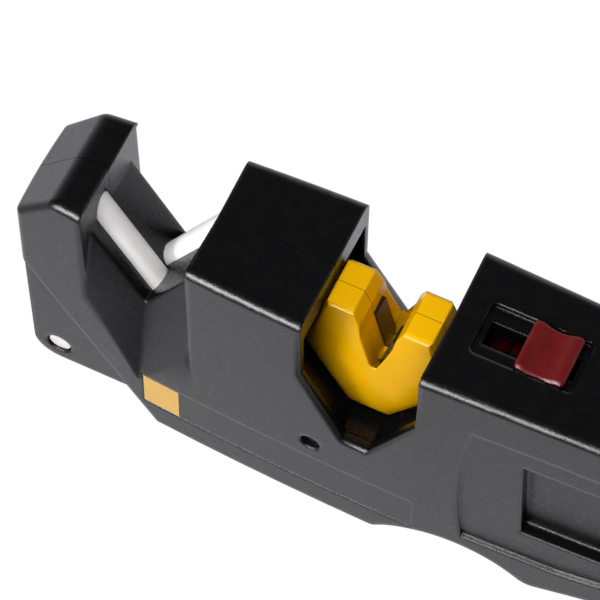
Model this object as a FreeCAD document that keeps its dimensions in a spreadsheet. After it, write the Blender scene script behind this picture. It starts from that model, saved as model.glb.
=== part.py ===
import FreeCAD, Part
import math
import os
import Sketcher
from FreeCAD import Placement, Rotation, Vector

# A hand-held pull-through knife sharpener: a two-shell moulded body with a crossed pair of ceramic rods,
# a rocking carrier with two carbide blades, a slide that holds the carrier and a fold-out tapered rod.
# Lengths are millimetres. X runs from the nose (0) to the butt, the near shell is at negative Y, Z is up.

SIZES = {
    # Body outline seen from above, measured at the base
    "overall_length": 205.0,
    "body_half_width": 15.7,
    "nose_half_width": 11.2,
    "butt_half_width": 11.5,
    "butt_corner_round": 7.0,
    "nose_bow": 0.6,
    "side_draft": 1.0,
    "seam_gap": 0.1,
    # Body outline seen from the side
    "body_height": 63.5,
    "top_edge_round": 2.0,
    "nose_edge_round": 1.4,
    "nose_crest_round": 4.0,
    "heel_round": 4.0,
    "arch_corner_round": 2.0,
    "butt_heel_round": 3.0,
    "nose_tip_drop": 10.0,
    "nose_slope_length": 9.0,
    "handle_top_straight": 122.0,
    "handle_top_fall": 9.0,
    "butt_top_inset": 14.0,
    "butt_top_rise": 2.6,
    "butt_middle_drop": 25.5,
    "butt_low_rise": 2.6,
    "butt_bottom_inset": 8.0,
    "butt_bottom_height": 13.0,
    "grip_hollow_rise": 4.2,
    "heel_position": 106.2,
    "heel_height": 1.0,
    "finger_arch_rise": 6.5,
    "base_rear": 75.4,
    "base_front": 29.0,
    "bow_top_height": 38.0,
    # Inset ears that carry the hinge pin of the fold-out rod
    "ear_half_width": 9.6,
    "ear_inner_half_width": 6.6,
    "ear_setback": 0.7,
    "ear_bottom": 0.5,
    "hinge_position": 6.0,
    "hinge_height": 5.8,
    "hinge_pin_diameter": 4.5,
    "hinge_pin_sink": 0.4,
    "pin_recess_diameter": 5.2,
    "pin_recess_depth": 1.0,
    # Notch with the crossed ceramic rods
    "notch_center": 25.2,
    "notch_front_half": 10.5,
    "notch_rear_half": 11.2,
    "notch_angle": 30.0,
    "notch_depth": 27.9,
    "notch_inner_half_depth": 8.2,
    "notch_flare_ratio": 4.35,
    "rod_diameter": 5.0,
    "rod_offset": 2.9,
    "rod_cross_depth": 28.1,
    "rod_upper_length": 28.5,
    "rod_lower_length": 9.0,
    # Window with the rocking carrier
    "window_center": 70.95,
    "window_half_width": 11.45,
    "window_slope_depth": 17.9,
    "window_depth": 35.0,
    "window_bottom_half": 2.6,
    "pit_half_width": 12.6,
    "pit_roof_drop": 1.5,
    "pit_side_gap": 1.0,
    "pit_under_gap": 2.4,
    # Carrier
    "carrier_center": 70.35,
    "carrier_half_length": 14.0,
    "horn_sink": 5.0,
    "horn_outer_half": 10.2,
    "horn_inner_half": 5.0,
    "carrier_corner_drop": 14.5,
    "carrier_drop": 29.2,
    "carrier_bottom_half": 3.0,
    "carrier_top_half_width": 5.0,
    "carrier_low_half_width": 8.0,
    "carrier_foot_half_width": 6.0,
    "carrier_foot_height": 1.7,
    "carrier_bevel": 0.6,
    "slot_shoulder_half": 3.55,
    "slot_shoulder_drop": 3.4,
    "slot_neck_half": 3.1,
    "slot_neck_drop": 6.65,
    "slot_depth": 17.3,
    "slot_bottom_half": 0.6,
    "slot_middle_half": 2.8,
    "slot_mouth_rise": 4.8,
    "pivot_drop": 13.0,
    "trunnion_diameter": 4.0,
    "trunnion_in_carrier": 6.0,
    "trunnion_in_shell": 5.0,
    # Carbide blades
    "carbide_length": 13.0,
    "carbide_thick": 3.0,
    "carbide_width": 3.8,
    "carbide_proud": 0.6,
    "carbide_below": 2.4,
    "carrier_screw_spacing": 6.5,
    "carrier_screw_drop": 19.5,
    "carrier_screw_diameter": 2.4,
    "carrier_screw_sink": 0.8,
    "carrier_screw_reach": 4.5,
    # Lock slide
    "slide_travel": 8.0,
    "recess_front": 87.6,
    "recess_rear": 107.0,
    "recess_half_width": 5.35,
    "recess_corner_round": 1.0,
    "recess_depth": 1.5,
    "slot_half_width": 2.4,
    "slot_front": 88.8,
    "slot_rear": 105.9,
    "roof_thick": 2.8,
    "button_rear": 105.3,
    "button_length": 9.4,
    "button_height": 2.5,
    "button_saddle_rise": 1.1,
    "button_ridge": 1.7,
    "button_bevel": 0.5,
    "stem_length": 6.1,
    "tongue_thick": 1.2,
    "foot_thick": 2.4,
    "foot_length": 12.0,
    "foot_half_width": 4.8,
    "lock_gap": 0.4,
    "spring_thick": 0.4,
    "spring_half_width": 2.6,
    "spring_length": 11.0,
    "spring_rise": 2.6,
    "spring_flat": 2.0,
    # Fold-out arm with the tapered rod
    "knuckle_radius": 5.4,
    "knuckle_half_width": 5.8,
    "knuckle_room": 0.8,
    "arm_half_width": 4.0,
    "arm_half_height": 4.2,
    "arm_length": 30.0,
    "channel_gap": 0.6,
    "socket_depth": 14.0,
    "taper_base_diameter": 6.0,
    "taper_tip_diameter": 3.2,
    "taper_length": 56.0,
    "taper_straight": 20.0,
    "washer_diameter": 10.0,
    "washer_thick": 0.6,
    # Label field on the near side
    "label_front": 26.4,
    "label_rear": 82.8,
    "label_low": 6.6,
    "label_high": 16.2,
    "label_depth": 0.8,
    "tile_length": 7.7,
    # Shell screws
    "screw_shaft": 2.6,
    "screw_head": 4.0,
    "screw_head_height": 2.2,
    "screw_sink": 1.4,
    "screw_reach": 8.0,
    "screw_front": 62.0,
    "screw_front_height": 22.3,
    "screw_rear_inset": 14.0,
    "screw_rear_height": 34.0,
    # Grip panel, finger pocket and hollow of the handle
    "panel_front": 93.0,
    "panel_front_rise": 1.6,
    "panel_rear_inset": 19.0,
    "panel_low_front": 10.5,
    "panel_high_front_drop": 12.0,
    "panel_low_break": 112.0,
    "panel_low_rear": 23.0,
    "panel_high_rear_drop": 18.5,
    "panel_top_rise": 2.6,
    "panel_depth": 0.8,
    "pocket_front": 104.0,
    "pocket_lean": 1.3,
    "pocket_rear_inset": 37.0,
    "pocket_low": 20.0,
    "pocket_high_drop": 18.5,
    "pocket_depth": 3.2,
    "pocket_end_rise": 7.7,
    "hollow_front": 134.0,
    "hollow_rear_inset": 21.0,
    "hollow_low": 20.0,
    "hollow_high_drop": 13.5,
    "wall": 2.6,
    # Fits
    "running_gap": 0.05,
    "seat_gap": 0.03,
    "slide_gap": 0.2,
    "over": 3.0,
}

doc = FreeCAD.newDocument("knife_sharpener")
sheet = doc.addObject("Spreadsheet::Sheet", "sizes")
for row, (name, number) in enumerate(SIZES.items(), start=1):
    sheet.set("A%d" % row, name)
    sheet.set("B%d" % row, str(number))
    sheet.setAlias("B%d" % row, name)
doc.recompute()


class Size:
    """A number together with the sheet expression that gives it."""

    def __init__(self, value, text):
        self.value = value
        self.text = text

    def __add__(self, other):
        other = as_size(other)
        return Size(self.value + other.value, "(%s + %s)" % (self.text, other.text))

    def __sub__(self, other):
        other = as_size(other)
        return Size(self.value - other.value, "(%s - %s)" % (self.text, other.text))

    def __mul__(self, other):
        other = as_size(other)
        return Size(self.value * other.value, "(%s * %s)" % (self.text, other.text))

    def __truediv__(self, other):
        other = as_size(other)
        return Size(self.value / other.value, "(%s / %s)" % (self.text, other.text))

    def __neg__(self):
        return Size(-self.value, "(0 - %s)" % self.text)


def as_size(thing):
    return thing if isinstance(thing, Size) else Size(float(thing), repr(float(thing)))


def size(name):
    return Size(float(sheet.get(name)), "sizes." + name)


def turned(function, angle):
    """Sine, cosine or tangent of a size in degrees."""
    number = getattr(math, function)(math.radians(angle.value))
    return Size(number, "%s(%s)" % (function, angle.text))


def bow_radius(chord, rise):
    """Radius of the arc that rises by rise at the end of a tangent run of length chord."""
    return (chord * chord + rise * rise) / (rise * 2)


def bowed(start, end, rise, bulge):
    """Corner at start with an arc to end that stands off their chord by the named rise."""
    across = end[0] - start[0]
    up = end[1] - start[1]
    off = size(rise)
    radius = ((across * across + up * up) / 4 + off * off) / (off * 2)
    return (*start, radius, bulge)


ZERO = Size(0.0, "0")
LENGTH = size("overall_length")
HEIGHT = size("body_height")
OVER = size("over")
HORN_TOP = HEIGHT - size("horn_sink")
RUNNING = size("running_gap")
SEAT = size("seat_gap")

# How close an edge lies to the place where it is looked for
NEAR = 0.5


# Drawing helpers

def new_body(name):
    return doc.addObject("PartDesign::Body", name)


def new_sketch(body, name, plane, offset=None):
    sketch = body.newObject("Sketcher::SketchObject", name)
    sketch.AttachmentSupport = ([face for face in body.Origin.OriginFeatures if face.Role == plane][0], "")
    sketch.MapMode = "FlatFace"
    if offset is not None:
        sketch.setExpression("AttachmentOffset.Base.z", offset.text)
    return sketch


def arc_edge(start, end, radius, bulge):
    """Arc from start to end that bulges to the left (1) or the right (-1) of the way."""
    chord = end.sub(start)
    reach = math.sqrt(radius * radius - chord.Length * chord.Length / 4)
    side = Vector(chord.y, -chord.x, 0).normalize() * (bulge * reach)
    center = (start + end) * 0.5 + side
    first, last = (end, start) if bulge > 0 else (start, end)
    angles = [math.atan2(point.y - center.y, point.x - center.x) for point in (first, last)]
    circle = Part.Circle(center, Vector(0, 0, 1), radius)
    return Part.ArcOfCircle(circle, angles[0], angles[1])


def place_point(sketch, edge, end, across, up):
    for kind, axis, value in (("DistanceX", -2, across), ("DistanceY", -1, up)):
        if value.text == "0":
            sketch.addConstraint(Sketcher.Constraint("PointOnObject", edge, end, axis))
            continue
        index = sketch.addConstraint(Sketcher.Constraint(kind, edge, end, value.value))
        sketch.setExpression("Constraints[%d]" % index, value.text)


def outline(sketch, corners):
    """Closed outline. A corner is (across, up), or (across, up, radius, bulge) for an arc to the next."""
    points = [Vector(corner[0].value, corner[1].value, 0) for corner in corners]
    ends = []
    for index, corner in enumerate(corners):
        start = points[index]
        finish = points[(index + 1) % len(points)]
        if len(corner) == 2:
            sketch.addGeometry(Part.LineSegment(start, finish))
            ends.append((1, 2))
        else:
            sketch.addGeometry(arc_edge(start, finish, corner[2].value, corner[3]))
            ends.append((2, 1) if corner[3] > 0 else (1, 2))
    for index, corner in enumerate(corners):
        after = (index + 1) % len(corners)
        sketch.addConstraint(Sketcher.Constraint("Coincident", index, ends[index][1], after, ends[after][0]))
    for index, corner in enumerate(corners):
        place_point(sketch, index, ends[index][0], corner[0], corner[1])
        if len(corner) > 2:
            number = sketch.addConstraint(Sketcher.Constraint("Radius", index, corner[2].value))
            sketch.setExpression("Constraints[%d]" % number, corner[2].text)


def pad(body, sketch, length, side="One side", reverse=False):
    feature = body.newObject("PartDesign::Pad", sketch.Name + "_pad")
    feature.Profile = sketch
    feature.SideType = side
    feature.Reversed = reverse
    feature.setExpression("Length", length.text)
    return feature


def prism(name, plane, corners, length, side="Symmetric", offset=None, reverse=False):
    body = new_body(name)
    sketch = new_sketch(body, name + "_sketch", plane, offset)
    outline(sketch, corners)
    pad(body, sketch, length, side, reverse)
    return body


def loft(name, plane, sections):
    """Ruled loft through (offset, corners) sections."""
    body = new_body(name)
    sketches = []
    for number, (offset, corners) in enumerate(sections):
        sketch = new_sketch(body, "%s_section_%d" % (name, number), plane, offset)
        outline(sketch, corners)
        sketches.append(sketch)
    feature = body.newObject("PartDesign::AdditiveLoft", name + "_loft")
    feature.Profile = sketches[0]
    feature.Sections = sketches[1:]
    feature.Ruled = True
    return body


def mirrored_corners(center, half):
    """Outline that is alike on both sides of center, from its right-hand corners, top to bottom."""
    right = [(center + across, up) for across, up in half]
    left = [(center - across, up) for across, up in reversed(half)]
    return right + left


def round_cornered(low, high, corner):
    """Rectangle from low to high with its corners rounded."""
    return [
        (low[0] + corner, low[1]),
        (high[0] - corner, low[1], corner, -1),
        (high[0], low[1] + corner),
        (high[0], high[1] - corner, corner, -1),
        (high[0] - corner, high[1]),
        (low[0] + corner, high[1], corner, -1),
        (low[0], high[1] - corner),
        (low[0], low[1] + corner, corner, -1),
    ]


def box(name, low, high):
    item = doc.addObject("Part::Box", name)
    for prop, axis in (("Length", 0), ("Width", 1), ("Height", 2)):
        item.setExpression(prop, (high[axis] - low[axis]).text)
        item.setExpression("Placement.Base." + "xyz"[axis], low[axis].text)
    return item


def stand(item, start, axis, angle):
    """Round solid put at start, with its Z axis turned about axis by angle."""
    if angle is not None:
        item.Placement = Placement(Vector(), Rotation(axis, angle.value))
        item.setExpression("Placement.Rotation.Angle", angle.text)
    for index, letter in enumerate("xyz"):
        item.setExpression("Placement.Base." + letter, start[index].text)
    return item


def rod(name, diameter, length, start, axis=None, angle=None):
    item = doc.addObject("Part::Cylinder", name)
    item.setExpression("Radius", (diameter / 2).text)
    item.setExpression("Height", length.text)
    return stand(item, start, axis, angle)


def cone(name, diameter, tip_diameter, length, start, axis, angle):
    item = doc.addObject("Part::Cone", name)
    item.setExpression("Radius1", (diameter / 2).text)
    item.setExpression("Radius2", (tip_diameter / 2).text)
    item.setExpression("Height", length.text)
    return stand(item, start, axis, angle)


# What the object has at its front and rear, with the sign of that end
ENDS = (("front", -1), ("rear", 1))

QUARTER_TURN = as_size(90)
ALONG_X = (Vector(0, 1, 0), QUARTER_TURN)
ALONG_Y = (Vector(-1, 0, 0), QUARTER_TURN)
AGAINST_Y = (Vector(1, 0, 0), QUARTER_TURN)


def cut(name, base, tool):
    item = doc.addObject("Part::Cut", name)
    item.Base = base
    item.Tool = tool
    return item


def common(name, shapes):
    item = doc.addObject("Part::MultiCommon", name)
    item.Shapes = shapes
    return item


def fuse(name, shapes, refine=False):
    item = doc.addObject("Part::MultiFuse", name)
    item.Shapes = shapes
    item.Refine = refine
    return item


def rounded(name, base, rounds):
    """Base with the numbered edges rounded by the radius beside each number."""
    item = doc.addObject("Part::Fillet", name)
    item.Base = base
    item.Edges = [(number, radius, radius) for number, radius in rounds]
    return item


def bevelled(name, base, numbers, width):
    """Base with the numbered edges bevelled by width."""
    item = doc.addObject("Part::Chamfer", name)
    item.Base = base
    item.Edges = [(number, width, width) for number in numbers]
    return item


def middle(edge):
    return edge.valueAt((edge.FirstParameter + edge.LastParameter) / 2)


def group(name, shapes):
    item = doc.addObject("Part::Compound", name)
    item.Links = shapes
    return item


# Body shells

def plan_corners(inset, lean):
    """Outline from above, drawn in by inset on every side and by lean on the two long sides."""
    wide = size("body_half_width") - inset - lean
    nose = size("nose_half_width") - inset - lean
    butt = size("butt_half_width") - inset - lean
    front = size("nose_bow") + inset
    break_at = size("window_center") + size("window_half_width")
    side_round = bow_radius(break_at - front, wide - nose)
    nose_round = bow_radius(nose, size("nose_bow"))
    corner = size("butt_corner_round")
    end = LENGTH - inset
    return [
        (front, -nose, side_round, -1),
        (break_at, -wide),
        (end - corner, -butt, corner, -1),
        (end, -(butt - corner)),
        (end, butt - corner, corner, -1),
        (end - corner, butt),
        (break_at, wide, side_round, -1),
        (front, nose, nose_round, -1),
    ]


def plan_form(name, inset):
    """The body's plan, narrowing upwards with the draft of its sides."""
    top = HEIGHT + OVER
    lean = top * turned("tan", size("side_draft"))
    return loft(name, "XY_Plane", [(None, plan_corners(inset, ZERO)), (top, plan_corners(inset, lean))])


def side_form():
    straight = size("handle_top_straight")
    fall = size("handle_top_fall")
    butt_top = (LENGTH - size("butt_top_inset"), HEIGHT - fall)
    butt_end = (LENGTH, HEIGHT - size("butt_middle_drop"))
    butt_low = (LENGTH - size("butt_bottom_inset"), size("butt_bottom_height"))
    heel = (size("heel_position"), size("heel_height"))
    base_rear = (size("base_rear"), ZERO)
    corners = [
        (ZERO, HEIGHT - size("nose_tip_drop")),
        (size("nose_slope_length"), HEIGHT),
        (straight, HEIGHT, bow_radius(butt_top[0] - straight, fall), 1),
        bowed(butt_top, butt_end, "butt_top_rise", 1),
        bowed(butt_end, butt_low, "butt_low_rise", 1),
        bowed(butt_low, heel, "grip_hollow_rise", -1),
        bowed(heel, base_rear, "finger_arch_rise", -1),
        base_rear,
        (size("base_front"), ZERO),
        (ZERO, size("bow_top_height")),
    ]
    return prism("side_form", "XZ_Plane", corners, (size("body_half_width") + OVER) * 2)


def block_rounds(shape):
    """Edge numbers and radii: crest and rim of the nose, long top edges and the corners underneath."""
    rounds = []
    corners = {
        "heel_round": SIZES["heel_position"],
        "arch_corner_round": SIZES["base_rear"],
        "butt_heel_round": SIZES["overall_length"] - SIZES["butt_bottom_inset"],
    }
    butt_middle = SIZES["body_height"] - SIZES["butt_middle_drop"]
    for number, edge in enumerate(shape.Edges, start=1):
        spot = middle(edge)
        ends = [vertex.Point for vertex in edge.Vertexes]
        across = abs(ends[0].y - ends[-1].y)
        if abs(spot.x - SIZES["nose_slope_length"]) < NEAR and spot.z > SIZES["body_height"] - NEAR:
            rounds.append((number, SIZES["nose_crest_round"]))
        elif spot.x < SIZES["nose_slope_length"] and spot.z > SIZES["bow_top_height"]:
            rounds.append((number, SIZES["nose_edge_round"]))
        elif spot.z > butt_middle and abs(spot.y) > NEAR and across < SIZES["nose_half_width"]:
            rounds.append((number, SIZES["top_edge_round"]))
        elif abs(spot.y) < NEAR and spot.z < SIZES["butt_bottom_height"] + NEAR:
            rounds += [(number, SIZES[name]) for name, at in corners.items() if abs(spot.x - at) < NEAR]
    return rounds


def body_block():
    block = common("body_block", [side_form(), plan_form("plan_outer", ZERO)])
    doc.recompute()
    return rounded("body_rounded", block, block_rounds(block.Shape))


def carved_block():
    """Body with the two knife openings cut through."""
    solid = fuse("body_solid", [body_block(), ear_form()])
    return cut("body_carved", solid, fuse("knife_openings", [notch_form(), window_form()]))


def ear_form():
    """Inset front corner of the body, round about the hinge pin."""
    front = size("ear_setback")
    low = size("ear_bottom")
    corner = size("hinge_position") - front
    inside = size("base_front") + OVER
    corners = [
        (front, size("bow_top_height")),
        (inside, size("bow_top_height")),
        (inside, low),
        (size("hinge_position"), low, corner, 1),
        (front, low + corner),
    ]
    return prism("ear_form", "XZ_Plane", corners, size("ear_half_width") * 2)


def notch_corners(drop):
    center = size("notch_center")
    front = size("notch_front_half")
    rear = size("notch_rear_half")
    bottom = HEIGHT - size("notch_depth") - drop
    steep = turned("tan", size("notch_angle"))
    return [
        (center + rear, HEIGHT + OVER),
        (center + rear, bottom + rear / steep),
        (center, bottom),
        (center - front, bottom + front / steep),
        (center - front, HEIGHT + OVER),
    ]


def notch_form():
    """Opening of the ceramic rods: a straight middle slot with a flared mouth on either side."""
    inner = size("notch_inner_half_depth")
    outer = size("body_half_width") + OVER
    drop = (outer - inner) * size("notch_flare_ratio")
    middle = prism("notch_middle", "XZ_Plane", notch_corners(ZERO), inner * 2)
    near = loft("notch_near", "XZ_Plane", [(inner, notch_corners(ZERO)), (outer, notch_corners(drop))])
    far = loft("notch_far", "XZ_Plane", [(-inner, notch_corners(ZERO)), (-outer, notch_corners(drop))])
    return fuse("notch_form", [middle, near, far])


def window_form():
    corners = mirrored_corners(size("window_center"), [
        (size("window_half_width"), HEIGHT + OVER),
        (size("window_half_width"), HEIGHT - size("window_slope_depth")),
        (size("window_bottom_half"), HEIGHT - size("window_depth")),
    ])
    return prism("window_form", "XZ_Plane", corners, (size("body_half_width") + OVER) * 2)


def carrier_level(drop):
    """Height that lies the named drop below the top of the carrier's horns."""
    return HEIGHT - size("horn_sink") - size(drop)


def pit_form():
    """Room for the carrier between the side walls, under the bridge and the front of the handle."""
    half = size("carrier_half_length") + size("pit_side_gap")
    under = size("pit_under_gap")
    corners = mirrored_corners(size("carrier_center"), [
        (half, carrier_level("pit_roof_drop")),
        (half, carrier_level("carrier_corner_drop") - under / 2),
        (size("carrier_bottom_half"), carrier_level("carrier_drop") - under),
    ])
    return prism("pit_form", "XZ_Plane", corners, size("pit_half_width") * 2)


def rod_axis(side):
    """Start of a ceramic rod's axis at its lower end; side is -1 for the near rod, 1 for the far one."""
    lower = size("rod_lower_length")
    lean = size("notch_angle")
    across = size("notch_center") - as_size(side) * lower * turned("sin", lean)
    up = HEIGHT - size("rod_cross_depth") - lower * turned("cos", lean)
    return (across, as_size(side) * size("rod_offset"), up)


def ceramic_rod(name, side, extra, spare):
    length = size("rod_lower_length") + size("rod_upper_length") + spare
    diameter = size("rod_diameter") + extra * 2
    return rod(name, diameter, length, rod_axis(side), Vector(0, side, 0), size("notch_angle"))


def trunnion(name, side, extra):
    """Pivot pin at one end of the carrier; side is -1 at the nose end."""
    inside = size("carrier_half_length") - size("trunnion_in_carrier")
    length = size("trunnion_in_carrier") + size("trunnion_in_shell") + size("pit_side_gap")
    center = size("carrier_center")
    low = center + inside if side > 0 else center - inside - length
    start = (low, ZERO, carrier_level("pivot_drop"))
    return rod(name, size("trunnion_diameter") + extra * 2, length, start, *ALONG_X)


def slide_room():
    """Recess, slot and track of the lock slide in the top of the handle, with the pocket of its spring."""
    floor = HEIGHT - size("recess_depth")
    track_top = floor - size("roof_thick")
    gap = size("slide_gap")
    track_low = track_top - size("foot_thick") - gap * 2
    half = size("foot_half_width") + gap
    tongue = size("slot_half_width")
    rear = size("slot_rear") + gap
    foot_rear = size("slot_rear") - gap
    foot_front = foot_rear - size("foot_length") - size("slide_travel") - gap
    spring = size("spring_half_width") + gap
    middle = rear - size("foot_length") / 2
    spring_half = size("spring_length") / 2 + gap
    recess = size("recess_half_width")
    recess_corners = round_cornered((size("recess_front"), -recess), (size("recess_rear"), recess),
                                    size("recess_corner_round"))
    outer = size("carrier_center") + size("horn_outer_half")
    return [
        prism("recess_room", "XY_Plane", recess_corners, HEIGHT + OVER - floor, "One side", floor),
        box("slot_room", (size("slot_front"), -tongue, track_low), (size("slot_rear"), tongue, HEIGHT)),
        box("track_room", (foot_front, -half, track_low), (rear, half, track_top)),
        box("tongue_room", (outer, -tongue, track_low), (rear, tongue, track_top)),
        box("spring_room", (middle - spring_half, -spring, track_low - size("spring_rise")),
            (middle + spring_half, spring, track_top)),
    ]


def arm_room():
    """Channel under the body for the folded arm, and the open space round its knuckle."""
    gap = size("channel_gap")
    half = size("arm_half_width") + gap
    top = size("hinge_height") + size("arm_half_height") + gap
    end = size("hinge_position") + size("arm_length") + size("taper_length") + gap * 2
    reach = size("knuckle_radius") + size("knuckle_room")
    inner = size("ear_inner_half_width")
    return [
        box("channel_room", (ZERO, -half, -OVER), (end, half, top)),
        box("knuckle_room_space", (-OVER, -inner, -OVER),
            (size("hinge_position") + reach, inner, size("hinge_height") + reach)),
    ]


def side_layer(name, corners, depth):
    """Everything of an XZ outline that lies outside the body drawn in by depth."""
    outer = prism(name + "_outline", "XZ_Plane", corners, (size("body_half_width") + OVER) * 2)
    return cut(name, outer, plan_form(name + "_floor", depth))


def grip_recesses():
    front = size("panel_front")
    rear = LENGTH - size("panel_rear_inset")
    front_low = (front, size("panel_low_front"))
    front_high = (front, HEIGHT - size("panel_high_front_drop"))
    rear_high = (rear, HEIGHT - size("panel_high_rear_drop"))
    panel = [
        bowed(front_low, front_high, "panel_front_rise", 1),
        bowed(front_high, rear_high, "panel_top_rise", 1),
        rear_high,
        (rear, size("panel_low_rear")),
        (size("panel_low_break"), size("panel_low_front")),
    ]
    pocket_front = size("pocket_front")
    pocket_rear = LENGTH - size("pocket_rear_inset")
    pocket_high = HEIGHT - size("pocket_high_drop")
    pocket_low = size("pocket_low")
    pocket = [
        (pocket_front, pocket_low),
        (pocket_front - size("pocket_lean"), pocket_high),
        bowed((pocket_rear, pocket_high), (pocket_rear, pocket_low), "pocket_end_rise", 1),
        (pocket_rear, pocket_low),
    ]
    return [
        side_layer("grip_panel", panel, size("panel_depth")),
        side_layer("finger_pocket", pocket, size("pocket_depth")),
    ]


def handle_hollow():
    low = size("hollow_low")
    high = HEIGHT - size("hollow_high_drop")
    front = size("hollow_front")
    rear = LENGTH - size("hollow_rear_inset")
    corners = [(front, low), (rear, low), (rear, high), (front, high)]
    outer = prism("hollow_outline", "XZ_Plane", corners, (size("body_half_width") + OVER) * 2)
    return common("handle_hollow", [outer, plan_form("hollow_limit", size("pocket_depth") + size("wall"))])


def label_field(name, front, rear, gap):
    """Block over the label field between two places along the body, drawn in by gap."""
    low = size("label_low") + gap
    high = size("label_high") - gap
    return box(name, (front + gap, -(size("body_half_width") + OVER), low), (rear - gap, ZERO, high))


def label_room():
    field = label_field("label_field", size("label_front"), size("label_rear"), ZERO)
    return cut("label_room", field, plan_form("label_floor", size("label_depth")))


def screw_place(which):
    """Place of a shell screw along the body."""
    return LENGTH - size("screw_rear_inset") if which == "rear" else size("screw_" + which)


def screw_seat(which):
    """Distance of a screw's head from the seam: the body's half width there, less the sink."""
    at = screw_place(which)
    break_at = size("window_center") + size("window_half_width")
    wide = size("body_half_width")
    ahead = break_at - at
    nose_run = break_at - size("nose_bow")
    front_drop = (wide - size("nose_half_width")) * ahead * ahead / (nose_run * nose_run)
    rear_run = LENGTH - size("butt_corner_round") - break_at
    rear_drop = (wide - size("butt_half_width")) * (at - break_at) / rear_run
    drop = front_drop if which == "front" else rear_drop
    lean = size("screw_%s_height" % which) * turned("tan", size("side_draft"))
    return wide - drop - lean - size("screw_sink")


def shell_screw(which, extra, deep):
    """Head and shaft of one screw, or its bore where extra and deep are clearances."""
    at = screw_place(which)
    up = size("screw_%s_height" % which)
    seat = screw_seat(which)
    head = size("screw_head_height")
    prefix = "screw_%s_%s" % (which, "bore" if deep else "solid")
    over = OVER if deep else ZERO
    top = rod(prefix + "_head", size("screw_head") + extra * 2, head + over,
              (at, -(seat + over), up), *ALONG_Y)
    shaft = rod(prefix + "_shaft", size("screw_shaft") + extra * 2, seat + size("screw_reach"),
                (at, -seat, up), *ALONG_Y)
    return fuse(prefix, [top, shaft], refine=True)


def hinge_bore(name, half_length, extra):
    start = (size("hinge_position"), -half_length, size("hinge_height"))
    return rod(name, size("hinge_pin_diameter") + extra * 2, half_length * 2, start, *ALONG_Y)


def pin_recesses():
    """Shallow counterbore round each end of the hinge pin."""
    floor = size("ear_half_width") - size("pin_recess_depth")
    length = size("pin_recess_depth") + OVER
    recesses = []
    for name, low in (("near_pin_recess", -(floor + length)), ("far_pin_recess", floor)):
        start = (size("hinge_position"), low, size("hinge_height"))
        recesses.append(rod(name, size("pin_recess_diameter"), length, start, *ALONG_Y))
    return recesses


def shells():
    rooms = [pit_form(), handle_hollow(), label_room()]
    rooms += slide_room() + arm_room() + grip_recesses()
    spare = size("slide_gap")
    rooms += [ceramic_rod("near_rod_bore", -1, SEAT, spare), ceramic_rod("far_rod_bore", 1, SEAT, spare)]
    rooms += [trunnion("front_trunnion_bore", -1, RUNNING), trunnion("rear_trunnion_bore", 1, RUNNING)]
    rooms += [shell_screw(which, SEAT, True) for which, _ in ENDS]
    rooms += [hinge_bore("hinge_bore", size("ear_half_width") + OVER, SEAT)] + pin_recesses()
    hollowed = cut("body_hollowed", carved_block(), fuse("body_rooms", rooms))
    reach = size("body_half_width") + OVER
    seam = size("seam_gap") / 2
    near_half = box("near_half", (-OVER, -reach, -OVER), (LENGTH + OVER, -seam, HEIGHT + OVER))
    far_half = box("far_half", (-OVER, seam, -OVER), (LENGTH + OVER, reach, HEIGHT + OVER))
    return {
        "near_shell": common("near_shell", [hollowed, near_half]),
        "far_shell": common("far_shell", [hollowed, far_half]),
    }


def label_pieces():
    """Clear plate and plain end tile, flush in the label field."""
    front = size("label_front")
    split = front + size("tile_length")
    pieces = {}
    for name, front, rear in (("amber_tile", front, split), ("label_plate", split, size("label_rear"))):
        block = label_field(name + "_block", front, rear, SEAT)
        layer = cut(name + "_layer", block, plan_form(name + "_back", size("label_depth") - SEAT))
        pieces[name] = common(name, [layer, plan_form(name + "_face", SEAT)])
    return pieces


# Rocking carrier

def carrier_outline():
    right = [
        (size("horn_outer_half"), HORN_TOP),
        (size("carrier_half_length"), carrier_level("carrier_corner_drop")),
        (size("carrier_bottom_half"), carrier_level("carrier_drop")),
    ]
    return mirrored_corners(size("carrier_center"), right)


def end_half(up):
    """Half length of the carrier at a level of its slanted ends."""
    lean = (size("carrier_half_length") - size("horn_outer_half")) / size("carrier_corner_drop")
    return size("horn_outer_half") + (HORN_TOP - up) * lean


def face_half(up):
    """Half width of the carrier at a level of its leaning faces."""
    run = size("carrier_drop") - size("carrier_foot_height")
    lean = (size("carrier_low_half_width") - size("carrier_top_half_width")) / run
    return size("carrier_top_half_width") + (HORN_TOP - up) * lean


def carrier_section():
    bottom = carrier_level("carrier_drop")
    half = [
        (size("carrier_top_half_width"), HORN_TOP),
        (size("carrier_low_half_width"), bottom + size("carrier_foot_height")),
        (size("carrier_foot_half_width"), bottom),
    ]
    return mirrored_corners(ZERO, half)


def slot_lean():
    """How far the lower wall of the slot leans out for each step up."""
    return (size("slot_neck_half") - size("slot_bottom_half")) / (size("slot_depth") - size("slot_neck_drop"))


def slot_corners(rise):
    """V slot of the carrier, with its foot raised by rise and the walls above its neck kept."""
    flare = (size("horn_inner_half") - size("slot_shoulder_half")) / size("slot_shoulder_drop")
    return mirrored_corners(size("carrier_center"), [
        (size("horn_inner_half") + flare * OVER, HORN_TOP + OVER),
        (size("slot_shoulder_half"), carrier_level("slot_shoulder_drop")),
        (size("slot_neck_half"), carrier_level("slot_neck_drop")),
        (size("slot_bottom_half"), carrier_level("slot_depth") + rise),
    ])


def slot_end(name, side):
    """Outer part of the slot on one side, whose foot rises towards the carrier's face."""
    inner = size("slot_middle_half")
    outer = size("carrier_low_half_width") + OVER
    rise = size("slot_mouth_rise") * (outer - inner) / (size("carrier_low_half_width") - inner)
    sign = as_size(side)
    return loft(name, "XZ_Plane", [(inner * sign, slot_corners(ZERO)), (outer * sign, slot_corners(rise))])


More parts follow.
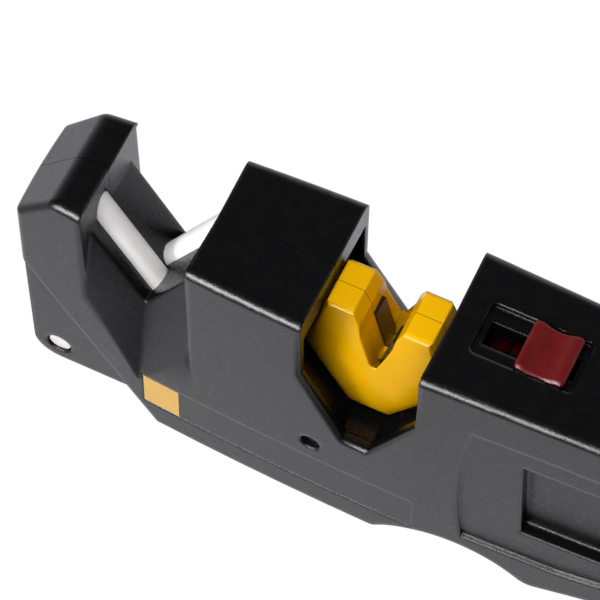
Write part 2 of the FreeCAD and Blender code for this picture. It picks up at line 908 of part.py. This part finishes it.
def carbide_corners(side, extra):
    """Slanted blade along one wall of the slot; side is -1 for the blade on the nose-side wall."""
    lean = slot_lean()
    center = size("carrier_center")
    bottom = carrier_level("slot_depth")
    low = bottom - size("carbide_below") - extra
    high = low + size("carbide_length") + extra * 2
    sign = as_size(side)

    def wall(up, proud):
        return center + sign * (size("slot_bottom_half") + lean * (up - bottom) - proud)

    proud = size("carbide_proud") + extra
    back = size("carbide_proud") - size("carbide_thick") - extra
    return [
        (wall(low, proud), low),
        (wall(low, back), low),
        (wall(high, back), high),
        (wall(high, proud), high),
    ]


def carbide(name, side, extra):
    """The nose-side blade lies in the far half, the other in the near half."""
    inner = size("seam_gap") / 2 - extra
    offset = inner if side > 0 else -inner
    width = size("carbide_width") + extra * 2
    return prism(name, "XZ_Plane", carbide_corners(side, extra), width, "One side", offset, reverse=side < 0)


def carrier_screw(name, side, extra, deep):
    """Headless screw that joins the halves, or its bore where extra and deep are clearances."""
    at = size("carrier_center") + size("carrier_screw_spacing") * as_size(side)
    up = carrier_level("carrier_screw_drop")
    face = face_half(up) - size("carrier_screw_sink")
    over = OVER if deep else ZERO
    length = face + over + size("carrier_screw_reach")
    return rod(name, size("carrier_screw_diameter") + extra * 2, length, (at, face + over, up), *AGAINST_Y)


def carrier_halves():
    section = prism("carrier_section", "YZ_Plane", carrier_section(), size("carrier_half_length") * 2,
                    offset=size("carrier_center"))
    front = prism("carrier_front", "XZ_Plane", carrier_outline(), (size("carrier_low_half_width") + OVER) * 2)
    sharp = common("carrier_sharp", [front, section])
    doc.recompute()
    faces = [number for number, edge in enumerate(sharp.Shape.Edges, start=1)
             if abs(middle(edge).y) > size("carrier_top_half_width").value - NEAR]
    block = bevelled("carrier_block", sharp, faces, SIZES["carrier_bevel"])
    rooms = [prism("slot_middle", "XZ_Plane", slot_corners(ZERO), size("slot_middle_half") * 2)]
    rooms += [slot_end("slot_near_end", 1), slot_end("slot_far_end", -1)]
    rooms += [carbide("front_carbide_room", -1, SEAT), carbide("rear_carbide_room", 1, SEAT)]
    rooms += [trunnion("front_trunnion_seat", -1, SEAT), trunnion("rear_trunnion_seat", 1, SEAT)]
    rooms += [carrier_screw(name + "_screw_bore", side, SEAT, True) for name, side in ENDS]
    cleared = cut("carrier_cleared", block, fuse("carrier_rooms", rooms))
    center = size("carrier_center")
    half = size("carrier_half_length") + OVER
    reach = size("carrier_low_half_width") + OVER
    seam = size("seam_gap") / 2
    near = box("carrier_near_side", (center - half, -reach, ZERO), (center + half, -seam, HEIGHT))
    far = box("carrier_far_side", (center - half, seam, ZERO), (center + half, reach, HEIGHT))
    return {
        "carrier_near_half": common("carrier_near_half", [cleared, near]),
        "carrier_far_half": common("carrier_far_half", [cleared, far]),
    }


# Lock slide and its spring

def slide_levels():
    floor = HEIGHT - size("recess_depth")
    track_top = floor - size("roof_thick")
    foot_top = track_top - size("slide_gap")
    return floor, foot_top, foot_top - size("foot_thick")


def lock_slider():
    """Foot and tongue in the track, a stem through the slot and the saddle-shaped thumb button."""
    floor, foot_top, foot_low = slide_levels()
    rear = size("slot_rear") - size("slide_gap")
    button_rear = size("button_rear")
    button_front = button_rear - size("button_length")
    base = floor + size("slide_gap")
    ridge_top = base + size("button_height")
    ridge = size("button_ridge")
    locked = size("carrier_center") + end_half(foot_low) + size("lock_gap")
    tongue_front = locked + size("slide_travel")
    narrow = size("slot_half_width") - size("slide_gap")
    stem_rear = button_rear - ridge
    stem_top = base + (size("button_height") - size("button_saddle_rise")) / 2
    body = new_body("slider_blank")
    blocks = (
        ("slider_foot", rear - size("foot_length"), rear, size("foot_half_width"), foot_top),
        ("slider_tongue", tongue_front, rear, narrow, foot_low + size("tongue_thick")),
        ("slider_stem", stem_rear - size("stem_length"), stem_rear, narrow, stem_top),
    )
    for name, front, end, half, top in blocks:
        block = new_sketch(body, name, "XY_Plane", foot_low)
        outline(block, [(front, -half), (end, -half), (end, half), (front, half)])
        pad(body, block, top - foot_low)
    button = new_sketch(body, "slider_button", "XZ_Plane")
    outline(button, [
        (button_front, base),
        (button_rear, base),
        (button_rear, ridge_top),
        bowed((button_rear - ridge, ridge_top), (button_front + ridge, ridge_top), "button_saddle_rise", 1),
        (button_front + ridge, ridge_top),
        (button_front, ridge_top),
    ])
    pad(body, button, (size("recess_half_width") - size("slide_gap")) * 2, "Symmetric")
    doc.recompute()
    rims = [number for number, edge in enumerate(body.Shape.Edges, start=1)
            if middle(edge).z > base.value + NEAR]
    return bevelled("lock_slider", body, rims, SIZES["button_bevel"])


def detent_spring():
    """Bowed strip under the slide's foot."""
    _, _, foot_low = slide_levels()
    thick = size("spring_thick")
    rear = size("slot_rear") + size("slide_gap")
    middle = rear - size("foot_length") / 2
    half = size("spring_length") / 2
    flat = size("spring_flat")
    crest = foot_low - size("slide_gap") / 2
    low = crest - size("spring_rise")
    run = half - flat
    rise = crest - low - thick
    arch = bow_radius(run, rise)
    corners = [
        (middle - half, low),
        (middle - run, low, arch, 1),
        (middle + run, low),
        (middle + half, low),
        (middle + half, low + thick),
        (middle + run, low + thick, arch, -1),
        (middle - run, low + thick),
        (middle - half, low + thick),
    ]
    return prism("detent_spring", "XZ_Plane", corners, size("spring_half_width") * 2)


# Fold-out arm

def serration_arm():
    at = size("hinge_position")
    up = size("hinge_height")
    half = size("knuckle_half_width")
    thick = size("arm_half_height")
    wide = size("arm_half_width")
    end = at + size("arm_length")
    knuckle = rod("arm_knuckle", size("knuckle_radius") * 2, half * 2, (at, -half, up), *ALONG_Y)
    beam = box("arm_beam", (at, -wide, up - thick), (end, wide, up + thick))
    bore = hinge_bore("arm_bore", half + OVER, RUNNING)
    socket = rod("arm_socket", size("taper_base_diameter") + SEAT * 2, size("socket_depth") + OVER,
                 (end - size("socket_depth"), ZERO, up), *ALONG_X)
    return cut("serration_arm", fuse("arm_blank", [knuckle, beam]), fuse("arm_holes", [bore, socket]))


def tapered_rod():
    """Round shank in the arm, straight for a while and then tapered to its tip."""
    up = size("hinge_height")
    end = size("hinge_position") + size("arm_length")
    start = end - size("socket_depth") + SEAT
    shoulder = end + size("taper_straight")
    wide = size("taper_base_diameter")
    length = size("taper_length") - size("taper_straight")
    shank = rod("taper_shank", wide, shoulder - start, (start, ZERO, up), *ALONG_X)
    point = cone("taper_point", wide, size("taper_tip_diameter"), length, (shoulder, ZERO, up), *ALONG_X)
    return fuse("tapered_rod", [shank, point])


def arm_washers():
    at = size("hinge_position")
    up = size("hinge_height")
    inner = size("knuckle_half_width")
    thick = size("washer_thick")
    slack = (size("ear_inner_half_width") - inner - thick) / 2
    rings = []
    for name, low in (("near", -(inner + slack + thick)), ("far", inner + slack)):
        disc = rod(name + "_washer_disc", size("washer_diameter"), thick, (at, low, up), *ALONG_Y)
        bore = hinge_bore(name + "_washer_bore", size("ear_half_width") + OVER, RUNNING)
        rings.append(cut(name + "_washer", disc, bore))
    return group("arm_washers", rings)


# Assembly

def build():
    pieces = {}
    pieces.update(shells())
    pieces.update(label_pieces())
    pieces.update(carrier_halves())
    pieces["near_ceramic_rod"] = ceramic_rod("near_ceramic_rod", -1, ZERO, ZERO)
    pieces["far_ceramic_rod"] = ceramic_rod("far_ceramic_rod", 1, ZERO, ZERO)
    pieces["front_carbide"] = carbide("front_carbide", -1, ZERO)
    pieces["rear_carbide"] = carbide("rear_carbide", 1, ZERO)
    pieces["front_trunnion"] = trunnion("front_trunnion", -1, ZERO)
    pieces["rear_trunnion"] = trunnion("rear_trunnion", 1, ZERO)
    joiners = [carrier_screw(name + "_carrier_screw", side, ZERO, False) for name, side in ENDS]
    pieces["carrier_screws"] = group("carrier_screws", joiners)
    pieces["shell_screws"] = group("shell_screws", [shell_screw(which, ZERO, False) for which, _ in ENDS])
    pieces["hinge_pin"] = hinge_bore("hinge_pin", size("ear_half_width") - size("hinge_pin_sink"), ZERO)
    pieces["lock_slider"] = lock_slider()
    pieces["detent_spring"] = detent_spring()
    pieces["serration_arm"] = serration_arm()
    pieces["tapered_rod"] = tapered_rod()
    pieces["arm_washers"] = arm_washers()
    return pieces


def center_on_origin(piece):
    """Middle of the body's length at X zero."""
    place = [text for path, text in piece.ExpressionEngine if path.lstrip(".") == "Placement.Base.x"]
    shift = "(0 - sizes.overall_length / 2)"
    piece.setExpression("Placement.Base.x", "%s + %s" % (place[0], shift) if place else shift)


def check(pieces):
    broken = ["%s: %s" % (item.Name, item.getStatusString()) for item in doc.Objects
              if "Invalid" in item.State or "Error" in item.State]
    if broken:
        raise RuntimeError("not rebuilt: " + "; ".join(broken))
    for name, piece in pieces.items():
        shape = piece.Shape
        if shape.isNull() or not shape.isValid() or not shape.Solids:
            raise RuntimeError("%s has no valid solid" % name)


def main():
    pieces = build()
    doc.recompute()
    for name, piece in pieces.items():
        piece.Label = name
        center_on_origin(piece)
    doc.recompute()
    check(pieces)
    os.makedirs("parts", exist_ok=True)
    for name, piece in pieces.items():
        piece.Shape.exportStep(os.path.join("parts", name + ".step"))
        print(name, len(piece.Shape.Solids), round(piece.Shape.Volume, 1))


main()
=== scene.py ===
import math
from collections import namedtuple

import bmesh
import bpy
from mathutils import Matrix, Vector


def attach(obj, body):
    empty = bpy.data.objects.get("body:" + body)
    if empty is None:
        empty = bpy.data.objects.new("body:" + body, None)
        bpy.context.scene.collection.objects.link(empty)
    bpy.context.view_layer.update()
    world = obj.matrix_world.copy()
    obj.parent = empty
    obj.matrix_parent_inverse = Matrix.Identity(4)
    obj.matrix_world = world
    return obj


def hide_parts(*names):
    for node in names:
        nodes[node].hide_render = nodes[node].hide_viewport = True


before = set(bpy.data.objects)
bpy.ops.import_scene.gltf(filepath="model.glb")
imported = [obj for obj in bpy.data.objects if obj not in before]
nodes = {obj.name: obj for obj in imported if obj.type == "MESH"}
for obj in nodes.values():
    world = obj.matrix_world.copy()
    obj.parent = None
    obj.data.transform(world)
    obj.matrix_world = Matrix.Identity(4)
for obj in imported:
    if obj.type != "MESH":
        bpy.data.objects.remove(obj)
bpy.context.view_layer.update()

# Camera: where it looks, from which side, how far off and how long its lens is
CAMERA_TARGET = Vector((-0.04982, 0.0, 0.04486))
CAMERA_ELEVATION = 61.552
CAMERA_AZIMUTH = 25.503
CAMERA_ROLL = 0.281
CAMERA_DISTANCE = 0.6206
CAMERA_LENS = 206.0
SENSOR_WIDTH = 36.0


def add_camera():
    lift = math.radians(CAMERA_ELEVATION)
    turn = math.radians(CAMERA_AZIMUTH)
    roll = math.radians(CAMERA_ROLL)
    back = Vector((math.sin(turn) * math.cos(lift), -math.cos(turn) * math.cos(lift), math.sin(lift)))
    right = Vector((math.cos(turn), math.sin(turn), 0.0))
    up = back.cross(right)
    across = right * math.cos(roll) + up * math.sin(roll)
    upward = up * math.cos(roll) - right * math.sin(roll)
    data = bpy.data.cameras.new("camera")
    data.lens = CAMERA_LENS
    data.sensor_width = SENSOR_WIDTH
    data.clip_start = 0.01
    camera = bpy.data.objects.new("camera", data)
    bpy.context.scene.collection.objects.link(camera)
    place = CAMERA_TARGET + back * CAMERA_DISTANCE
    turned = Matrix((across, upward, back)).transposed()
    camera.matrix_world = Matrix.Translation(place) @ turned.to_4x4()
    bpy.context.scene.camera = camera


# Materials: usual range of the noise, rays for edges and for the shade painted into hollows, and the
# strip kept sharp along the seam
NOISE_LOW = 0.3
NOISE_HIGH = 0.7
EDGE_SAMPLES = 8
SEAM_CLEAR = 0.0004
SEAM_BLEND = 0.0016

# How wide the sharp edges of a piece look rounded, below one level and above another
Edge = namedtuple("Edge", "low_width high_width low_level high_level")
SHELL_EDGE = Edge(0.0013, 0.0009, 0.056, 0.0625)
CARRIER_EDGE = Edge(0.003, 0.0008, 0.034, 0.046)
SMALL_EDGE = Edge(0.0005, 0.0005, 0.0, 0.06)


class Shader:
    """A material with a principled surface and short calls for the nodes that feed it."""

    def __init__(self, name):
        self.material = bpy.data.materials.new(name)
        self.material.use_nodes = True
        self.tree = self.material.node_tree
        self.surface = self.tree.nodes["Principled BSDF"]
        place = self.tree.nodes.new("ShaderNodeTexCoord")
        self.place = place.outputs["Object"]
        self.facing = place.outputs["Normal"]

    def link(self, source, target):
        self.tree.links.new(source, target)

    def set(self, **values):
        for name, value in values.items():
            self.surface.inputs[name.replace("_", " ")].default_value = value

    def noise(self, scale, detail=2.0, stretch=None):
        node = self.tree.nodes.new("ShaderNodeTexNoise")
        node.inputs["Scale"].default_value = scale
        node.inputs["Detail"].default_value = detail
        place = self.place
        if stretch is not None:
            mapping = self.tree.nodes.new("ShaderNodeMapping")
            mapping.inputs["Scale"].default_value = stretch
            self.link(place, mapping.inputs["Vector"])
            place = mapping.outputs["Vector"]
        self.link(place, node.inputs["Vector"])
        return socket_out(node, "Fac", "Factor")

    def spread(self, value, low, high):
        """Noise value mapped from its usual range to low and high."""
        return self.ramp(value, NOISE_LOW, NOISE_HIGH, low, high)

    def colours(self, value, low, high):
        node = self.tree.nodes.new("ShaderNodeValToRGB")
        first, last = node.color_ramp.elements
        first.position = NOISE_LOW
        first.color = (*low, 1.0)
        last.position = NOISE_HIGH
        last.color = (*high, 1.0)
        self.link(value, node.inputs["Fac"])
        self.link(node.outputs["Color"], self.surface.inputs["Base Color"])

    def rough(self, value, low, high):
        self.link(self.spread(value, low, high), self.surface.inputs["Roughness"])

    def ramp(self, value, start, end, low, high):
        """Value that runs from low to high between two places."""
        node = self.tree.nodes.new("ShaderNodeMapRange")
        node.inputs["From Min"].default_value = start
        node.inputs["From Max"].default_value = end
        node.inputs["To Min"].default_value = low
        node.inputs["To Max"].default_value = high
        self.link(value, node.inputs["Value"])
        return node.outputs["Result"]

    def axis(self, vector, name):
        split = self.tree.nodes.new("ShaderNodeSeparateXYZ")
        self.link(vector, split.inputs["Vector"])
        return split.outputs[name]

    def math(self, operation, *values):
        node = self.tree.nodes.new("ShaderNodeMath")
        node.operation = operation
        for socket, value in zip(node.inputs, values):
            self.link(value, socket)
        return node.outputs[0]

    def paint_shade_in_hollows(self, distance, closed, open_air, side_faces_only):
        """Painted shade: base colour that fades to black where walls close by keep the light away."""
        near = self.tree.nodes.new("ShaderNodeAmbientOcclusion")
        near.samples = EDGE_SAMPLES
        near.inputs["Distance"].default_value = distance
        shade = self.ramp(near.outputs["AO"], closed, open_air, 1.0, 0.0)
        if side_faces_only:
            shade = self.math("MULTIPLY", shade, self.math("ABSOLUTE", self.axis(self.facing, "Y")))
        dim = self.tree.nodes.new("ShaderNodeVectorMath")
        dim.operation = "SCALE"
        target = self.surface.inputs["Base Color"]
        self.link(target.links[0].from_socket, dim.inputs[0])
        self.link(self.ramp(shade, 0.0, 1.0, 1.0, 0.0), dim.inputs["Scale"])
        self.link(dim.outputs[0], target)

    def soft_edges(self, edge):
        """Normal that rounds the sharp edges, save along the seam in the middle plane."""
        level = self.axis(self.place, "Z")
        width = self.ramp(level, edge.low_level, edge.high_level, edge.low_width, edge.high_width)
        side = self.math("ABSOLUTE", self.axis(self.place, "Y"))
        off_seam = self.ramp(side, SEAM_CLEAR, SEAM_BLEND, 0.0, 1.0)
        soft = self.tree.nodes.new("ShaderNodeBevel")
        soft.samples = EDGE_SAMPLES
        self.link(self.math("MULTIPLY", width, off_seam), soft.inputs["Radius"])
        return soft.outputs["Normal"]

    def bump(self, value, strength, distance, edge):
        """Grain in the surface, over softened edges."""
        node = self.tree.nodes.new("ShaderNodeBump")
        node.inputs["Strength"].default_value = strength
        node.inputs["Distance"].default_value = distance
        self.link(value, node.inputs["Height"])
        self.link(self.soft_edges(edge), node.inputs["Normal"])
        self.link(node.outputs["Normal"], self.surface.inputs["Normal"])


def socket_out(node, *names):
    """First output of a node that goes by one of the names."""
    for name in names:
        if name in node.outputs:
            return node.outputs[name]
    raise KeyError(names)


def shell_plastic():
    """Black moulded plastic with a fine spark-eroded grain."""
    shader = Shader("shell_plastic")
    shader.colours(shader.noise(scale=400.0), low=(0.0025, 0.0025, 0.003), high=(0.004, 0.004, 0.0045))
    shader.rough(shader.noise(scale=900.0), low=0.26, high=0.32)
    shader.bump(shader.noise(scale=4500.0), strength=0.4, distance=0.00012, edge=SHELL_EDGE)
    return shader.material


def arm_plastic():
    """Plainer black plastic of the arm and the washers."""
    shader = Shader("arm_plastic")
    shader.colours(shader.noise(scale=300.0), low=(0.012, 0.012, 0.013), high=(0.018, 0.018, 0.019))
    shader.rough(shader.noise(scale=700.0), low=0.4, high=0.5)
    shader.bump(shader.noise(scale=2600.0, detail=3.0), strength=0.25, distance=0.0001, edge=SMALL_EDGE)
    return shader.material


def carrier_yellow():
    """Polished yellow plastic, with shade painted into its colour where it goes down between the walls of
    the pit.
    """
    shader = Shader("carrier_yellow")
    shader.colours(shader.noise(scale=120.0), low=(0.86, 0.44, 0.001), high=(0.90, 0.47, 0.001))
    shader.paint_shade_in_hollows(distance=0.012, closed=0.3, open_air=0.8, side_faces_only=True)
    shader.rough(shader.noise(scale=500.0), low=0.12, high=0.18)
    shader.bump(shader.noise(scale=300.0), strength=0.05, distance=0.0001, edge=CARRIER_EDGE)
    shader.set(Specular_IOR_Level=0.2)
    return shader.material


def slider_red():
    """Satin red plastic, with shade painted into its colour under the top of the handle."""
    shader = Shader("slider_red")
    shader.colours(shader.noise(scale=500.0), low=(0.12, 0.004, 0.004), high=(0.15, 0.006, 0.006))
    shader.paint_shade_in_hollows(distance=0.006, closed=0.4, open_air=0.8, side_faces_only=False)
    shader.rough(shader.noise(scale=900.0), low=0.32, high=0.42)
    shader.bump(shader.noise(scale=2600.0, detail=3.0), strength=0.2, distance=0.00008, edge=SMALL_EDGE)
    return shader.material


def white_ceramic():
    """Fine ground white ceramic of the two crossed rods."""
    shader = Shader("white_ceramic")
    shader.colours(shader.noise(scale=600.0), low=(0.93, 0.915, 0.91), high=(0.95, 0.935, 0.93))
    shader.rough(shader.noise(scale=1500.0), low=0.5, high=0.6)
    return shader.material


def grey_ceramic():
    """Ground grey ceramic of the tapered rod."""
    shader = Shader("grey_ceramic")
    shader.colours(shader.noise(scale=900.0), low=(0.50, 0.49, 0.48), high=(0.58, 0.57, 0.56))
    shader.rough(shader.noise(scale=1500.0), low=0.5, high=0.65)
    return shader.material


def metal(name, low, high, rough_low, rough_high, stretch=None):
    """Metal whose grain shows in both its colour and its roughness."""
    shader = Shader(name)
    grain = shader.noise(scale=1200.0, stretch=stretch)
    shader.colours(grain, low, high)
    shader.rough(grain, rough_low, rough_high)
    shader.set(Metallic=1.0)
    return shader.material


def bright_steel():
    """Turned steel of the pins and the spring."""
    return metal("bright_steel", low=(0.90, 0.85, 0.84), high=(0.96, 0.91, 0.90),
                 rough_low=0.5, rough_high=0.6)


def dark_steel():
    """Blackened steel of the screws."""
    return metal("dark_steel", low=(0.08, 0.08, 0.085), high=(0.12, 0.12, 0.125),
                 rough_low=0.35, rough_high=0.5)


def carbide():
    """Ground carbide, with the grinding lines across the blade."""
    return metal("carbide", low=(0.11, 0.105, 0.095), high=(0.17, 0.16, 0.145),
                 rough_low=0.32, rough_high=0.48, stretch=(1.0, 6.0, 1.0))


def label_gloss():
    """Clear gloss over a dark ground."""
    shader = Shader("label_gloss")
    shader.colours(shader.noise(scale=200.0), low=(0.012, 0.012, 0.013), high=(0.016, 0.016, 0.017))
    shader.rough(shader.noise(scale=300.0), low=0.2, high=0.26)
    shader.set(Specular_IOR_Level=0.32)
    return shader.material


def tile_amber():
    """Glossy amber print."""
    shader = Shader("tile_amber")
    shader.colours(shader.noise(scale=200.0), low=(0.72, 0.40, 0.045), high=(0.78, 0.44, 0.055))
    shader.rough(shader.noise(scale=300.0), low=0.2, high=0.28)
    return shader.material


def dress():
    """Give every node its material."""
    steel = bright_steel()
    dark = dark_steel()
    blade = carbide()
    shell = shell_plastic()
    arm = arm_plastic()
    yellow = carrier_yellow()
    ceramic = white_ceramic()
    looks = {
        "near_shell": shell, "far_shell": shell,
        "shell_screws": dark, "carrier_screws": dark,
        "hinge_pin": steel, "front_trunnion": steel, "rear_trunnion": steel, "detent_spring": steel,
        "arm_washers": arm, "serration_arm": arm,
        "near_ceramic_rod": ceramic, "far_ceramic_rod": ceramic,
        "tapered_rod": grey_ceramic(),
        "label_plate": label_gloss(), "amber_tile": tile_amber(),
        "carrier_near_half": yellow, "carrier_far_half": yellow,
        "front_carbide": blade, "rear_carbide": blade,
        "lock_slider": slider_red(),
    }
    for name, material in looks.items():
        mesh = nodes[name].data
        mesh.materials.clear()
        mesh.materials.append(material)


# Rounded rims of the shells

RIM_ROUND = 0.001
RIM_LEAST = 0.002
SEAM_GROOVE = 0.00014
RIM_STEPS = 4
RIM_ANGLE = math.radians(38.0)
CREASE_ANGLE = math.radians(8.0)
FLAT_ANGLE = math.radians(0.6)
SAME_PLACE = 0.000002
PLANE_REACH = 0.0003
SEAM_REACH = 0.0004

# Where the rims lie: two cross planes, and the pit between its end walls, outside its inner walls
CROSS_PLANES = (-0.0878, -0.0661)
PIT_ENDS = (-0.0431, -0.0200)
PIT_INNER_SIDE = 0.0127
PIT_INNER_TOP = 0.0595
RIM_LEVEL = 0.028


def is_crease(edge, ways):
    """Edge where the surfaces of its two faces don't run into each other smoothly."""
    if len(edge.link_loops) != 2:
        return True
    first, second = edge.link_loops
    start = first[ways].angle(second.link_loop_next[ways], 0.0)
    end = first.link_loop_next[ways].angle(second[ways], 0.0)
    return max(start, end) > CREASE_ANGLE


def is_corner(edge):
    """Sharp outside corner above the base."""
    if len(edge.link_faces) != 2 or not edge.is_convex:
        return False
    return edge.calc_face_angle() > RIM_ANGLE and edge.verts[0].co.z > RIM_LEVEL


def on_seam(edge):
    """Edge in the middle plane, where the shells meet."""
    return max(abs(end.co.y) for end in edge.verts) < SAME_PLACE


def on_cross_plane(edge):
    """Edge in the back of the nose or the front of the bridge."""
    for plane in CROSS_PLANES:
        if max(abs(end.co.x - plane) for end in edge.verts) < PLANE_REACH:
            return True
    return False


def on_rim(edge):
    """Straight edge of a cross plane, or round the mouth of the pit in the outside of the shell."""
    middle = (edge.verts[0].co + edge.verts[1].co) / 2.0
    if abs(middle.y) < SEAM_REACH or edge.calc_length() < RIM_LEAST:
        return False
    outside = abs(middle.y) > PIT_INNER_SIDE or middle.z > PIT_INNER_TOP
    return on_cross_plane(edge) or (outside and PIT_ENDS[0] < middle.x < PIT_ENDS[1])


def cut_back(shape, chosen, width, steps):
    """Round the corners at the chosen edges and give back the new faces."""
    edges = [edge for edge in shape.edges if is_corner(edge) and chosen(edge)]
    made = bmesh.ops.bevel(shape, geom=edges, offset=width, offset_type="OFFSET", segments=steps,
                           profile=0.5, affect="EDGES", clamp_overlap=False, loop_slide=True)
    return made["faces"]


def open_shape(mesh):
    """Mesh joined at its seams and freed of flat edges, with its creases marked sharp."""
    normals = mesh.attributes.new("ways", "FLOAT_VECTOR", "CORNER")
    for corner, normal in zip(normals.data, mesh.corner_normals):
        corner.vector = normal.vector
    shape = bmesh.new()
    shape.from_mesh(mesh)
    bmesh.ops.remove_doubles(shape, verts=shape.verts, dist=SAME_PLACE)
    ways = shape.loops.layers.float_vector["ways"]
    for edge in shape.edges:
        edge.smooth = not is_crease(edge, ways)
    bmesh.ops.dissolve_limit(shape, angle_limit=FLAT_ANGLE, verts=shape.verts, edges=shape.edges)
    return shape


def round_shape(shape):
    """Round the rims, cut the groove along the seam, and shade the rest smoothly between its creases."""
    for face in cut_back(shape, on_rim, RIM_ROUND, RIM_STEPS):
        for edge in face.edges:
            edge.smooth = len(edge.link_faces) != 2 or edge.calc_face_angle() < RIM_ANGLE
    groove = cut_back(shape, on_seam, SEAM_GROOVE, 1)
    for face in shape.faces:
        face.smooth = True
    for face in groove:
        for edge in face.edges:
            edge.smooth = False


def round_rims(name):
    """Copy of a shell with its rims rounded, which stands for the sharp one."""
    mesh = nodes[name].data.copy()
    shape = open_shape(mesh)
    round_shape(shape)
    shape.to_mesh(mesh)
    shape.free()
    piece = bpy.data.objects.new(name + "_rounded", mesh)
    bpy.context.scene.collection.objects.link(piece)
    even = piece.modifiers.new("even_normals", "WEIGHTED_NORMAL")
    even.keep_sharp = True
    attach(piece, "housing")
    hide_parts(name)


# Light: brightness of the room in mirror view, by how far a direction points down and to the far side
FAR_PULL = 0.9
ROOM_LEVELS = ((-0.40, 0.015), (-0.06, 0.13), (0.24, 0.28), (0.44, 0.98))
ROOM_TINT = (1.0, 0.985, 1.05)
AMBIENT_LEVEL = 0.30
LAMP_DISTANCE = 0.8


def room_view(tree):
    """White ground below and behind, dim in front and dark overhead, as the gloss shows it."""
    new = tree.nodes.new
    place = new("ShaderNodeTexCoord")
    split = new("ShaderNodeSeparateXYZ")
    tree.links.new(place.outputs["Generated"], split.inputs["Vector"])
    pull = new("ShaderNodeMath")
    pull.operation = "MULTIPLY"
    pull.inputs[1].default_value = FAR_PULL
    tree.links.new(split.outputs["Y"], pull.inputs[0])
    down = new("ShaderNodeMath")
    down.operation = "SUBTRACT"
    tree.links.new(pull.outputs[0], down.inputs[0])
    tree.links.new(split.outputs["Z"], down.inputs[1])
    scale = new("ShaderNodeMapRange")
    scale.inputs["From Min"].default_value = -1.0
    scale.inputs["From Max"].default_value = 1.0
    tree.links.new(down.outputs[0], scale.inputs["Value"])
    ramp = new("ShaderNodeValToRGB")
    stops = ramp.color_ramp.elements
    stops.remove(stops[1])
    for where, level in ROOM_LEVELS:
        stop = stops.new((where + 1.0) / 2.0)
        stop.color = (*(level * share for share in ROOM_TINT), 1.0)
    stops.remove(stops[0])
    tree.links.new(scale.outputs["Result"], ramp.inputs["Fac"])
    return ramp.outputs["Color"]


def add_world():
    """Plain white to the camera, the room to gloss, an even dim light to everything else."""
    world = bpy.data.worlds.new("studio")
    world.use_nodes = True
    bpy.context.scene.world = world
    tree = world.node_tree
    tree.nodes.clear()
    new = tree.nodes.new
    path = new("ShaderNodeLightPath")

    def background(strength):
        node = new("ShaderNodeBackground")
        node.inputs["Color"].default_value = (1.0, 1.0, 1.0, 1.0)
        node.inputs["Strength"].default_value = strength
        return node

    def mix(factor, first, second):
        node = new("ShaderNodeMixShader")
        tree.links.new(factor, node.inputs[0])
        tree.links.new(first.outputs[0], node.inputs[1])
        tree.links.new(second.outputs[0], node.inputs[2])
        return node

    room = background(1.0)
    tree.links.new(room_view(tree), room.inputs["Color"])
    seen = new("ShaderNodeMath")
    seen.operation = "MAXIMUM"
    tree.links.new(path.outputs["Is Glossy Ray"], seen.inputs[0])
    tree.links.new(path.outputs["Is Transmission Ray"], seen.inputs[1])
    soft = mix(seen.outputs[0], background(AMBIENT_LEVEL), room)
    plain = mix(path.outputs["Is Camera Ray"], soft, background(1.0))
    out = new("ShaderNodeOutputWorld")
    tree.links.new(plain.outputs[0], out.inputs["Surface"])


def add_lamp(name, toward, width, height, power, in_gloss=True, in_matt=True):
    """Area lamp that lies toward a direction from the object and faces it."""
    data = bpy.data.lights.new(name, "AREA")
    data.shape = "RECTANGLE"
    data.size = width
    data.size_y = height
    data.energy = power
    lamp = bpy.data.objects.new(name, data)
    lamp.visible_diffuse = in_matt
    lamp.visible_glossy = in_gloss
    bpy.context.scene.collection.objects.link(lamp)
    way = Vector(toward).normalized()
    facing = way.to_track_quat("Z", "Y").to_matrix().to_4x4()
    lamp.matrix_world = Matrix.Translation(CAMERA_TARGET + way * LAMP_DISTANCE) @ facing


def add_lamps():
    """Soft key from the nose end, light on the tops, and a strip that only the glossy edges show."""
    add_lamp("key_softbox", toward=(-0.5, -0.8, 0.2), width=0.25, height=0.25, power=3.5)
    add_lamp("top_softbox", toward=(-0.05, -0.42, 0.9), width=0.3, height=0.3, power=4.6, in_gloss=False)
    add_lamp("edge_strip", toward=(-0.2, -0.95, 0.15), width=0.5, height=0.3, power=10.0, in_matt=False)


add_camera()
dress()
for shell_name in ("near_shell", "far_shell"):
    round_rims(shell_name)
add_world()
add_lamps()
bpy.context.scene.view_settings.view_transform = "Standard"
